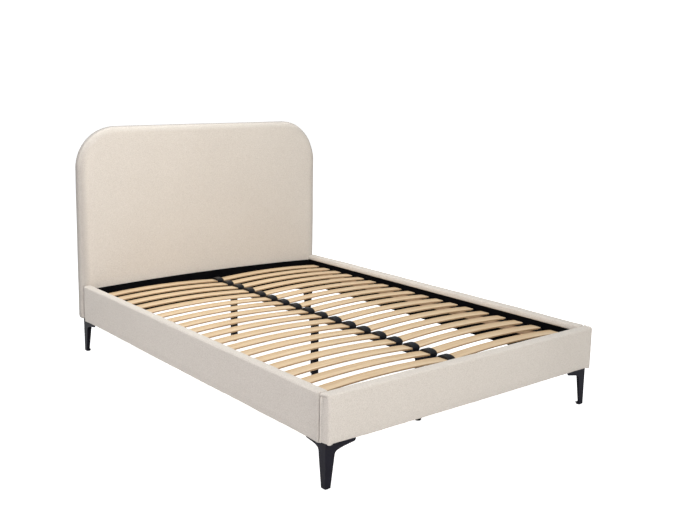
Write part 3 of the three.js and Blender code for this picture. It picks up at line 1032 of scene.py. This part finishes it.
def dust_cloth():
    """Thin black cloth stretched over the window in the back of the headboard."""
    lo, hi = corners_of("headboard_cover")
    inset = HEAD_WINDOW + DUST_OVERLAP
    ring = headboard_ring(lo, hi, inset)
    extra, grid = grid_inside(ring)
    plan = np.concatenate([ring, extra])
    sag = 0.0007 * np.array([noise.noise(Vector((x * 9, z * 9, 2.0))) for x, z in plan])
    from_edge = np.minimum(hi[0] - np.abs(plan[:, 0]), plan[:, 1] - lo[2]) - inset
    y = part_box("headboard_board")[1][1] + DUST_GAP + sag * ramp_up(from_edge, 0, 0.05)
    faces = [tuple(reversed(face)) for face in grid]
    skin = Skin(upright(plan, y + DUST_CLOTH), upright(plan, y), faces)
    piece = make_piece("headboard_dust_cloth", *skin.closed(), lining)


def cross_board():
    """The board across the head end, with an arched top edge and its lining rolled over it."""
    lo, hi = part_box("head_cross_board")
    middle_y, depth = (lo[1] + hi[1]) / 2, hi[1] - lo[1]
    profile = rounded_rectangle(1, 1, 0.11, 3)
    rings = []
    for u in np.linspace(-1, 1, CROSS_COLUMNS + 1):
        x = lo[0] + (hi[0] - lo[0]) * (u + 1) / 2
        top = CROSS_END_TOP + (hi[2] - CROSS_END_TOP) * (1 - u * u)
        ring = []
        for across, up in profile:
            from_middle = (top - lo[2]) / 2 - (0.5 - abs(up)) * depth
            ring.append((x, middle_y + across * depth, (lo[2] + top) / 2 + np.sign(up) * from_middle))
        rings.append(ring)
    piece = make_piece("head_cross_board_lined", *lofted(rings), lining)
    crisp(piece, 0.0012, 60)
    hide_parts("head_cross_board")


# ---- slats ----

SLAT_EDGE = 0.0016
SLAT_END_RADIUS = 0.009
SLAT_STATIONS = 26


def slat_piece(side_name, number):
    """A sprung slat: an arch of constant thickness with rounded ends and eased edges."""
    side = SIDES[side_name]
    node = f"{side_name}_slat_{number:02d}"
    lo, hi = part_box(node)
    half_length, half_width = (hi[0] - lo[0]) / 2, (hi[1] - lo[1]) / 2
    middle_x, middle_y = (hi[0] + lo[0]) / 2, (hi[1] + lo[1]) / 2
    rise = hi[2] - lo[2] - SLAT_THICK
    bow = (half_length**2 + rise**2) / (2 * rise)
    ends = SLAT_END_RADIUS * (1 - np.cos(np.radians(np.linspace(0, 90, 5))))
    span = np.linspace(SLAT_END_RADIUS, 2 * half_length - SLAT_END_RADIUS, SLAT_STATIONS)
    stations = np.r_[ends, span[1:-1], (2 * half_length - ends)[::-1]]
    section = rounded_rectangle(1, 1, 0.5, 3)
    rings, grain = [], []
    for s in stations:
        x = s - half_length
        short = max(SLAT_END_RADIUS - min(s, 2 * half_length - s), 0)
        half = half_width - SLAT_END_RADIUS + math.sqrt(max(SLAT_END_RADIUS**2 - short**2, 0))
        level = math.sqrt(bow**2 - x**2)
        slope = -x / level
        lean, upward = np.array([-slope, 1.0]) / math.hypot(slope, 1)
        ring = []
        for across, up in section:
            y = np.sign(across) * (half - (0.5 - abs(across)) * 2 * SLAT_EDGE)
            depth = SLAT_THICK / 2 - np.sign(up) * (SLAT_THICK / 2 - (0.5 - abs(up)) * 2 * SLAT_EDGE)
            ring.append((middle_x + x - depth * lean, middle_y + y, hi[2] - (bow - level) - depth * upward))
            grain.append((s + 3.7 * number + 1.9 * side, y + 0.31 * number, depth))
        rings.append(ring)
    piece = make_piece(f"slat_{side_name}_{number:02d}", *lofted(rings), birch)
    attribute = piece.data.attributes.new("grain", "FLOAT_VECTOR", "POINT")
    attribute.data.foreach_set("vector", np.array(grain, np.float32).ravel())
    weigh_normals(piece)
    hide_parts(node)


# ---- holders, beam and ledges ----

HOLDER_LENGTH = 0.038
HOLDER_WIDTH = 0.070
HOLDER_EDGE_TOP = 0.016  # height of its two sides above the beam; its middle is arched above them
HOLDER_FLOOR = 0.0036
HOLDER_POCKET = 0.061
HOLDER_WEB = 0.004  # between its two mouths
HOLDER_ROOF = 0.003
HOLDER_SHOULDER = 0.0025
BEAM_TOP = 0.305
BEAM_BOTTOM = 0.285
BEAM_MIDDLE = np.array([0, (BEAM_TOP + BEAM_BOTTOM) / 2])
BEAM_WIDTH = 0.030
BEAM_WALL = 0.0018
BRACKETS = ["head_beam_bracket", "foot_beam_bracket"]


def row_places():
    """The Y of the middle of each row of slats, from the head to the foot."""
    boxes = [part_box(f"left_slat_{number:02d}") for number in range(1, ROWS + 1)]
    return [(lo[1] + hi[1]) / 2 for lo, hi in boxes]


def share_mesh(name, source, offset, quarter_turns=0):
    """Another piece with the same mesh, somewhere else."""
    piece = link_object(name, source.data)
    piece.matrix_world = Matrix.Translation(offset) @ Matrix.Rotation(quarter_turns * math.pi / 2, 4, "Z")
    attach(piece, ROOT)
    return piece


def arched_outline(half_width, edge_top, crown, steps=14):
    """Y and Z points of a block with an arched top and eased shoulders, standing on z 0."""
    share = np.cos(np.linspace(0, math.pi, steps + 1))
    arch = edge_top + (crown - edge_top) * (1 - np.abs(share) ** 2.6)
    arch -= HOLDER_SHOULDER * np.abs(share) ** 10
    top = np.column_stack([share * half_width, arch])
    return np.concatenate([[(-half_width, 0.0), (half_width, 0.0)], top])


def double_holder_mesh():
    """A block with an arched top that takes a slat's end from each side. It stands on z 0."""
    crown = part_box("centre_beam")[1][2] - BEAM_TOP
    half = HOLDER_LENGTH / 2
    outline = arched_outline(HOLDER_WIDTH / 2, HOLDER_EDGE_TOP, crown)
    rings = []
    for x, inset in ((-half, 0.0016), (-half + 0.0005, 0.0007), (-half + 0.0016, 0.0)):
        shrink = np.array([1 - inset / (HOLDER_WIDTH / 2), 1 - inset / crown])
        rings.append([(x, *(point * shrink)) for point in outline])
    for mirrored in rings[::-1]:
        rings.append([(-x, y, z) for x, y, z in mirrored])
    piece = make_piece("holder_pattern", *lofted(rings), plastic, body=None)
    inside, roof = HOLDER_POCKET / 2, HOLDER_EDGE_TOP - HOLDER_ROOF
    spans = ((HOLDER_WEB / 2, 0.03), (-0.03, -HOLDER_WEB / 2))
    carve(piece, [block((start, -inside, HOLDER_FLOOR), (end, inside, roof)) for start, end in spans])
    crisp(piece, 0.0004, 40)
    return piece


def double_holders():
    """A holder on the beam for each row of slats."""
    pattern = double_holder_mesh()
    for number, y in enumerate(row_places(), 1):
        holder = share_mesh(f"double_holder_{number:02d}", pattern, (0, y, BEAM_TOP))
    bpy.data.objects.remove(pattern)


def beam():
    """The steel tube down the middle of the bed."""
    lo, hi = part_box("centre_beam")
    height = BEAM_TOP - BEAM_BOTTOM
    outer = rounded_rectangle(BEAM_WIDTH, height, 0.003) + BEAM_MIDDLE
    inner = rounded_rectangle(BEAM_WIDTH - 2 * BEAM_WALL, height - 2 * BEAM_WALL, 0.0018) + BEAM_MIDDLE
    rings = [upright(outer, lo[1]), upright(outer, hi[1]), upright(inner, hi[1]), upright(inner, lo[1])]
    count = len(outer)
    faces = ring_faces(4, count)
    faces += [(3 * count + i, 3 * count + (i + 1) % count, (i + 1) % count, i) for i in range(count)]
    piece = make_piece("centre_beam_tube", np.concatenate(rings), faces, steel)
    crisp(piece, 0.0004, 60)
    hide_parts("centre_beam")


LEDGE_TOP = 0.297
LEDGE_WIDTH = 0.028
CRADLE_LENGTH = 0.022
CRADLE_POCKET = 0.0606
CRADLE_LIP = 0.002
CRADLE_HEIGHT = 0.016
CRADLE_FLOOR = 0.0116
CRADLE_GAP = 0.0003


def ledge(side_name):
    """The timber batten that carries the outer ends of the slats, with its grain along Y."""
    side = SIDES[side_name]
    lo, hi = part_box(f"{side_name}_ledge")
    wall_x = hi[0] if side > 0 else lo[0]
    section = rounded_rectangle(LEDGE_WIDTH, LEDGE_TOP - lo[2], 0.002, 3)
    section += np.array([wall_x - side * LEDGE_WIDTH / 2, (LEDGE_TOP + lo[2]) / 2])
    rings = [upright(section, y) for y in np.linspace(lo[1], hi[1], 40)]
    piece = make_piece(f"{side_name}_ledge_batten", *lofted(rings), pine)
    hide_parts(f"{side_name}_ledge")


def end_holder_mesh():
    """An open cradle for a slat's outer end, which points towards +X. Its slat's end is at x 0."""
    half = CRADLE_POCKET / 2
    body = block((-CRADLE_LENGTH, -half - CRADLE_LIP, 0), (CRADLE_LIP, half + CRADLE_LIP, CRADLE_HEIGHT))
    piece = make_piece("cradle_pattern", *body, plastic, body=None)
    carve(piece, [block((-CRADLE_LENGTH - 0.01, -half, CRADLE_FLOOR), (0.0, half, 0.03))])
    crisp(piece, 0.0005, 40)
    return piece


def end_holders():
    """A cradle on the ledges for the outer end of each slat."""
    pattern = end_holder_mesh()
    for side_name, side in SIDES.items():
        for number, y in enumerate(row_places(), 1):
            lo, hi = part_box(f"{side_name}_slat_{number:02d}")
            x = (hi[0] if side > 0 else lo[0]) + side * CRADLE_GAP
            name = f"{side_name}_end_holder_{number:02d}"
            holder = share_mesh(name, pattern, (x, y, LEDGE_TOP), 0 if side > 0 else 2)
    bpy.data.objects.remove(pattern)


# ---- legs ----

LEG_PLATE = 0.004
LEG_FLANGE = 0.028  # width of the flat strip inside the top of the wings
LEG_FLANGE_THICK = 0.003
LEG_TURNS = {"foot_left": 0, "foot_right": 1, "head_right": 2, "head_left": 3}  # in quarter turns
GLIDE_CENTRE = 0.013  # from the leg's outer faces
# (radius, height) up a glide and up a levelling foot.
GLIDE_PROFILE = [
    (0.0, 0.0), (0.0095, 0.0), (0.0108, 0.0012), (0.011, 0.003),
    (0.011, 0.005), (0.0102, 0.006), (0.0, 0.006),
]
TUBE_WIDTH = 0.030  # of a centre leg
TUBE_BORE = 0.012
CAP_WIDTH = 0.060
CAP_HEIGHT = 0.012
STUD_RADIUS = 0.004
THREAD_DEPTH = 0.0005
THREAD_PITCH = 0.0012
FOOT_TOP = 0.009
FOOT_PROFILE = [
    (0.0, 0.0), (0.0138, 0.0), (0.015, 0.0012), (0.015, 0.0052), (0.0144, 0.0062), (0.012, FOOT_TOP),
]
RIB_DEPTH = 0.0007
# The outline of a leg's face from the sole to the top, as (height, width).
DEEP_WING = [
    (0.003, 0.025), (0.118, 0.041), (0.128, 0.0425), (0.135, 0.0455), (0.140, 0.052), (0.1445, 0.066),
    (0.149, 0.088), (0.1555, 0.131), (0.158, 0.1365), (0.162, 0.139), (0.177, 0.139),
]
SHALLOW_WING = [
    (0.003, 0.025), (0.118, 0.040), (0.136, 0.0415), (0.144, 0.0435), (0.151, 0.050), (0.156, 0.062),
    (0.1595, 0.080), (0.164, 0.115), (0.167, 0.119), (0.171, 0.120), (0.177, 0.120),
]
LEVEL_WING = [
    (0.003, 0.025), (0.118, 0.040), (0.135, 0.0415), (0.140, 0.0435), (0.144, 0.050), (0.147, 0.062),
    (0.1505, 0.080), (0.157, 0.115), (0.160, 0.121), (0.165, 0.123), (0.177, 0.123),
]
LEG_WINGS = {"left": (DEEP_WING, SHALLOW_WING), "right": (DEEP_WING, LEVEL_WING)}


def leg_widths(name):
    """(height, width of the first face, width of the second face) up a corner leg."""
    first, second = LEG_WINGS["left" if name.endswith("left") else "right"]
    heights = sorted({height for height, _ in first + second})
    return list(zip(heights, np.interp(heights, *zip(*first)), np.interp(heights, *zip(*second))))


def angle_outline(start, end, first, second):
    """An L in plan between two distances from the faces. It reaches to `first` in X and `second` in Y."""
    plan = [(start, start), (first, start), (first, end), (end, end), (end, second), (start, second)]
    return np.array(plan)


def corner_leg(name):
    """A folded steel leg: two tapering faces that meet in a ridge, with a long wing at the top."""
    node = f"corner_leg_{name}"
    lo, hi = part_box(node)
    turns = LEG_TURNS[name]
    plate = LEG_PLATE
    widths = leg_widths(name)
    faces = lofted([at_height(angle_outline(0, plate, first, second), z) for z, first, second in widths])
    flange = angle_outline(plate, LEG_FLANGE, *widths[-1][1:])
    shelf = lofted([at_height(flange, z) for z in (hi[2] - LEG_FLANGE_THICK, hi[2])])
    sole = block((plate, plate, 0.006), (0.024, 0.024, 0.010))
    body = turned_about_z(joined([faces, shelf, sole]), turns)
    corner = np.array([lo[0] if turns in (0, 3) else hi[0], lo[1] if turns in (0, 1) else hi[1], 0])
    piece = make_piece(f"{name}_leg", *moved(body, corner), steel)
    crisp(piece, 0.0008, 25)
    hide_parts(node)
    glide_centre = turned_about_z(([(GLIDE_CENTRE, GLIDE_CENTRE, 0)], []), turns)[0][0]
    glide_body = moved(revolved(GLIDE_PROFILE), corner + glide_centre)
    glide = make_piece(f"{name}_glide", *glide_body, plastic)
    crisp(glide, 0.0003, 60, 1)


def centre_leg(name):
    """A square tube under the beam, with a cap that fits over its top."""
    node = f"centre_leg_{name}"
    lo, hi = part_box(node)
    offset = (0, (lo[1] + hi[1]) / 2, 0)
    cap_low, top = hi[2] - CAP_HEIGHT, hi[2]
    tube = rounded_rectangle(TUBE_WIDTH, TUBE_WIDTH, 0.003)
    bore = rounded_rectangle(TUBE_BORE, TUBE_BORE, 0.005)
    rings = [(bore, lo[2] + 0.05), (bore, lo[2]), (tube, lo[2]), (tube, cap_low)]
    body = lofted([at_height(plan, z) for plan, z in rings])
    post = make_piece(f"{name}_centre_leg", *moved(body, offset), steel)
    crisp(post, 0.0004, 60)
    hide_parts(node)
    cap_plan = rounded_rectangle(TUBE_WIDTH, CAP_WIDTH, 0.004)
    levels = [(cap_low, 0.001), (cap_low + 0.001, 0.0), (top - 0.001, 0.0), (top, 0.0004)]
    cap = make_piece(f"{name}_leg_head", *moved(prism(cap_plan, levels), offset), steel)
    crisp(cap, 0.0004, 60)


def levelling_foot(name):
    """A ribbed plastic foot on a threaded stud, which screws up and down in its centre leg."""
    node = f"levelling_foot_{name}"
    lo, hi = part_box(node)
    circle = unit_circle(72)
    ribs = np.where(np.arange(len(circle)) % 3 == 0, RIB_DEPTH, 0.0)
    rings = []
    for radius, z in FOOT_PROFILE:
        ribbed = radius - ribs if 0.001 < z < 0.006 else np.full(len(circle), radius)
        rings.append(at_height(circle * np.maximum(ribbed, NEAR_AXIS)[:, None], z))
    stud = [(STUD_RADIUS, FOOT_TOP)]
    for z in np.arange(FOOT_TOP + 0.0002, hi[2] - 0.001, THREAD_PITCH):
        stud += [(STUD_RADIUS, z), (STUD_RADIUS - THREAD_DEPTH, z + THREAD_PITCH / 2)]
    stud += [(0.0032, hi[2]), (0.0, hi[2])]
    rings += [at_height(circle * max(radius, NEAR_AXIS), z) for radius, z in stud]
    body = moved(lofted(rings), (0, (lo[1] + hi[1]) / 2, 0))
    piece = make_piece(f"{name}_levelling_foot", *body, plastic, body=None)
    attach(piece, f"{name}_levelling_foot")
    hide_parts(node)


# ---- room ----

FLOOR_GLOW = 0.84
FLOOR_HALF = 45.0
BOUNCE_HALF = 12.0
BACKDROP_GLOW = 1.1
BACKDROP_RADIUS = 40
SKY_COLOUR = (0.943, 0.974, 1.0, 1)
SKY_STRENGTH = 0.345
# The camera stands at the foot end, to the left, and looks slightly down.
CAMERA_PLACE = (-2.576, -3.394, 1.4288)
CAMERA_TURN = (-38.623, 11.062, 0.837)  # azimuth, elevation and roll, in degrees
CAMERA_LENS = 48.07


def plane(name, half, z, material):
    """A square of floor, which isn't part of the bed."""
    points = [(-half, -half, z), (half, -half, z), (half, half, z), (-half, half, z)]
    piece = make_piece(name, points, [(0, 1, 2, 3)], material, body=None, smooth=False)
    return piece


def camera_only(piece):
    """The piece is seen, but throws no light or shade on anything."""
    for ray in ("diffuse", "glossy", "transmission", "shadow"):
        setattr(piece, f"visible_{ray}", False)


def room():
    """A white floor and backdrop, and soft light from all round."""
    camera_only(plane("floor", FLOOR_HALF, 0.0, floor_material(FLOOR_GLOW)))
    bounce_floor = plane("floor_bounce", BOUNCE_HALF, -0.0005, floor_material(0.0))
    bounce_floor.visible_camera = False
    dome = bpy.data.meshes.new("backdrop")
    shape = bmesh.new()
    bmesh.ops.create_icosphere(shape, subdivisions=4, radius=BACKDROP_RADIUS)
    shape.to_mesh(dome)
    shape.free()
    backdrop = link_object("backdrop", dome)
    backdrop.data.materials.append(floor_material(BACKDROP_GLOW))
    camera_only(backdrop)
    world = bpy.data.worlds.new("studio")
    world.use_nodes = True
    background = world.node_tree.nodes["Background"]
    background.inputs["Color"].default_value = SKY_COLOUR
    background.inputs["Strength"].default_value = SKY_STRENGTH
    bpy.context.scene.world = world


def soft_light(name, place, target, size, power, colour):
    """A square light that faces its target."""
    data = bpy.data.lights.new(name, "AREA")
    data.shape = "SQUARE"
    data.size = size
    data.energy = power
    data.color = colour
    light = link_object(name, data)
    light.location = place
    light.rotation_euler = (Vector(target) - Vector(place)).to_track_quat("-Z", "Y").to_euler()
    return light


def lights():
    """Large soft lights at the left and the foot end, and over the head end."""
    soft_light("left", (-3.4, -2.4, 3.0), (-0.4, 1.0, 0.8), 2.0, 25, (0.89, 0.89, 1.0))
    soft_light("front", (-1.35, -5.0, 2.5), (-0.2, 0.6, 0.6), 2.4, 124, (1.0, 0.99, 0.977))
    soft_light("over_head_end", (-0.5, 0.75, 3.6), (0.0, 0.75, 0.3), 2.2, 72, (0.946, 0.983, 1.0))
    soft_light("low_left", (-4.2, -0.3, 1.4), (-0.6, 0.5, 0.3), 1.8, 21, (1.0, 0.94, 0.99))
    narrow = soft_light("to_headboard", (-1.1, -1.8, 2.7), (-0.1, 1.0, 0.85), 1.6, 5.2, (1.0, 0.98, 0.9))
    narrow.data.spread = 1.25


def camera():
    """The camera, aimed by its azimuth and elevation and then rolled about its view."""
    azimuth, elevation, roll = (math.radians(angle) for angle in CAMERA_TURN)
    level_back = Vector((math.sin(azimuth), -math.cos(azimuth), 0)) * math.cos(elevation)
    back = level_back + Vector((0, 0, math.sin(elevation)))
    level = (-back).cross(Vector((0, 0, 1))).normalized()
    upward = level.cross(-back)
    right = math.cos(roll) * level + math.sin(roll) * upward
    up = -math.sin(roll) * level + math.cos(roll) * upward
    data = bpy.data.cameras.new("camera")
    data.sensor_width = 36
    data.lens = CAMERA_LENS
    data.clip_start = 0.05
    data.clip_end = 200
    made = link_object("camera", data)
    turn = Matrix((right, up, back)).transposed().to_4x4()
    made.matrix_world = Matrix.Translation(CAMERA_PLACE) @ turn
    bpy.context.scene.camera = made


# ---- the bed ----

camera()
room()
lights()
bpy.context.scene.view_settings.view_transform = "Standard"

headboard_pad()
for rail_side in SIDES:
    rail_pad(rail_side)
foot_pad()
dust_cloth()
refinish(BOARDS, lining)
cross_board()
for slat_side in SIDES:
    for row in range(1, ROWS + 1):
        slat_piece(slat_side, row)
beam()
double_holders()
for ledge_side in SIDES:
    ledge(ledge_side)
end_holders()
for leg_name in LEG_TURNS:
    corner_leg(leg_name)
for leg_name in ("head", "middle", "foot"):
    centre_leg(leg_name)
    levelling_foot(leg_name)
refinish(BRACKETS, steel)
